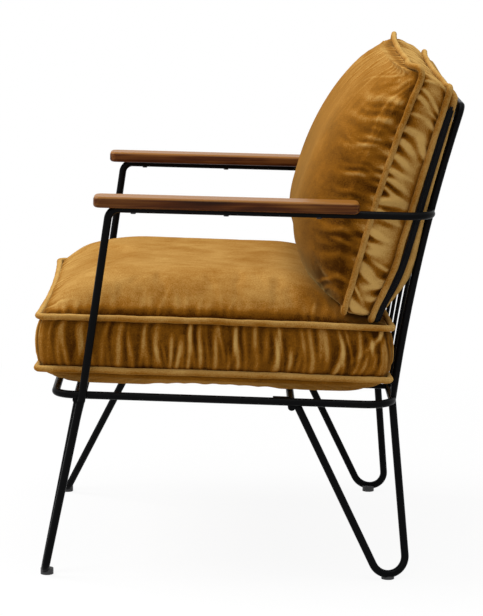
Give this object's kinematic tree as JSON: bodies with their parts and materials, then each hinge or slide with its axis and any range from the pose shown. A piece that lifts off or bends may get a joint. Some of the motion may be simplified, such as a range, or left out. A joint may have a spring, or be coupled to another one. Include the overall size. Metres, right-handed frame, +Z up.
{
  "type": "armchair",
  "caption": "Low armchair: black bent steel-rod frame on hairpin legs, rod back, wooden arm boards, and loose piped velvet box cushions for seat and back.",
  "frame": {"origin": "on the floor under the middle of the chair's outline", "axes": "+Z up, -Y the way the chair faces, +X towards the sitter's left"},
  "size_m": [0.6512, 0.6505, 0.8002],
  "materials": {
    "lacquered_steel": "satin black lacquer",
    "arm_wood": "oiled, satin",
    "screw_steel": "black",
    "glide_plastic": "matte",
    "velvet": "ochre velvet",
    "foam": "open-cell foam",
    "zip_tape": "woven tape with a coil zip"
  },
  "bodies": {
    "frame": {"seat_hoop": "lacquered_steel", "back_bow": "lacquered_steel", "back_spindle_1": "lacquered_steel", "back_spindle_2": "lacquered_steel", "back_spindle_3": "lacquered_steel", "back_spindle_4": "lacquered_steel", "back_spindle_5": "lacquered_steel", "front_cross_bar": "lacquered_steel", "rear_cross_bar": "lacquered_steel", "seat_rod_1": "lacquered_steel", "seat_rod_2": "lacquered_steel", "seat_rod_3": "lacquered_steel", "seat_rod_4": "lacquered_steel", "seat_rod_5": "lacquered_steel", "arm_rod_left": "lacquered_steel", "arm_rod_right": "lacquered_steel", "front_leg_left": "lacquered_steel", "front_leg_right": "lacquered_steel", "rear_leg_left": "lacquered_steel", "rear_leg_right": "lacquered_steel", "glide_front_left": "glide_plastic", "glide_front_right": "glide_plastic", "glide_rear_left": "glide_plastic", "glide_rear_right": "glide_plastic", "arm_board_left": "arm_wood", "arm_board_right": "arm_wood", "arm_screws_left": "screw_steel", "arm_screws_right": "screw_steel"},
    "seat_cushion": {"seat_cover": "velvet", "seat_core": "foam", "seat_piping_top": "velvet", "seat_piping_bottom": "velvet"},
    "back_cushion": {"back_cover": "velvet", "back_core": "foam", "back_piping_front": "velvet", "back_piping_rear": "velvet", "back_zip": "zip_tape"}
  },
  "joints": [
    {"name": "seat_cushion_slide", "type": "slide", "parent": "frame", "child": "seat_cushion", "axis": [0, -0.9996, 0.0279], "range_m": [0, 0.3]},
    {"name": "back_cushion_lift", "type": "slide", "parent": "frame", "child": "back_cushion", "axis": [0, 0.213, 0.977], "range_m": [0, 0.35]}
  ]
}
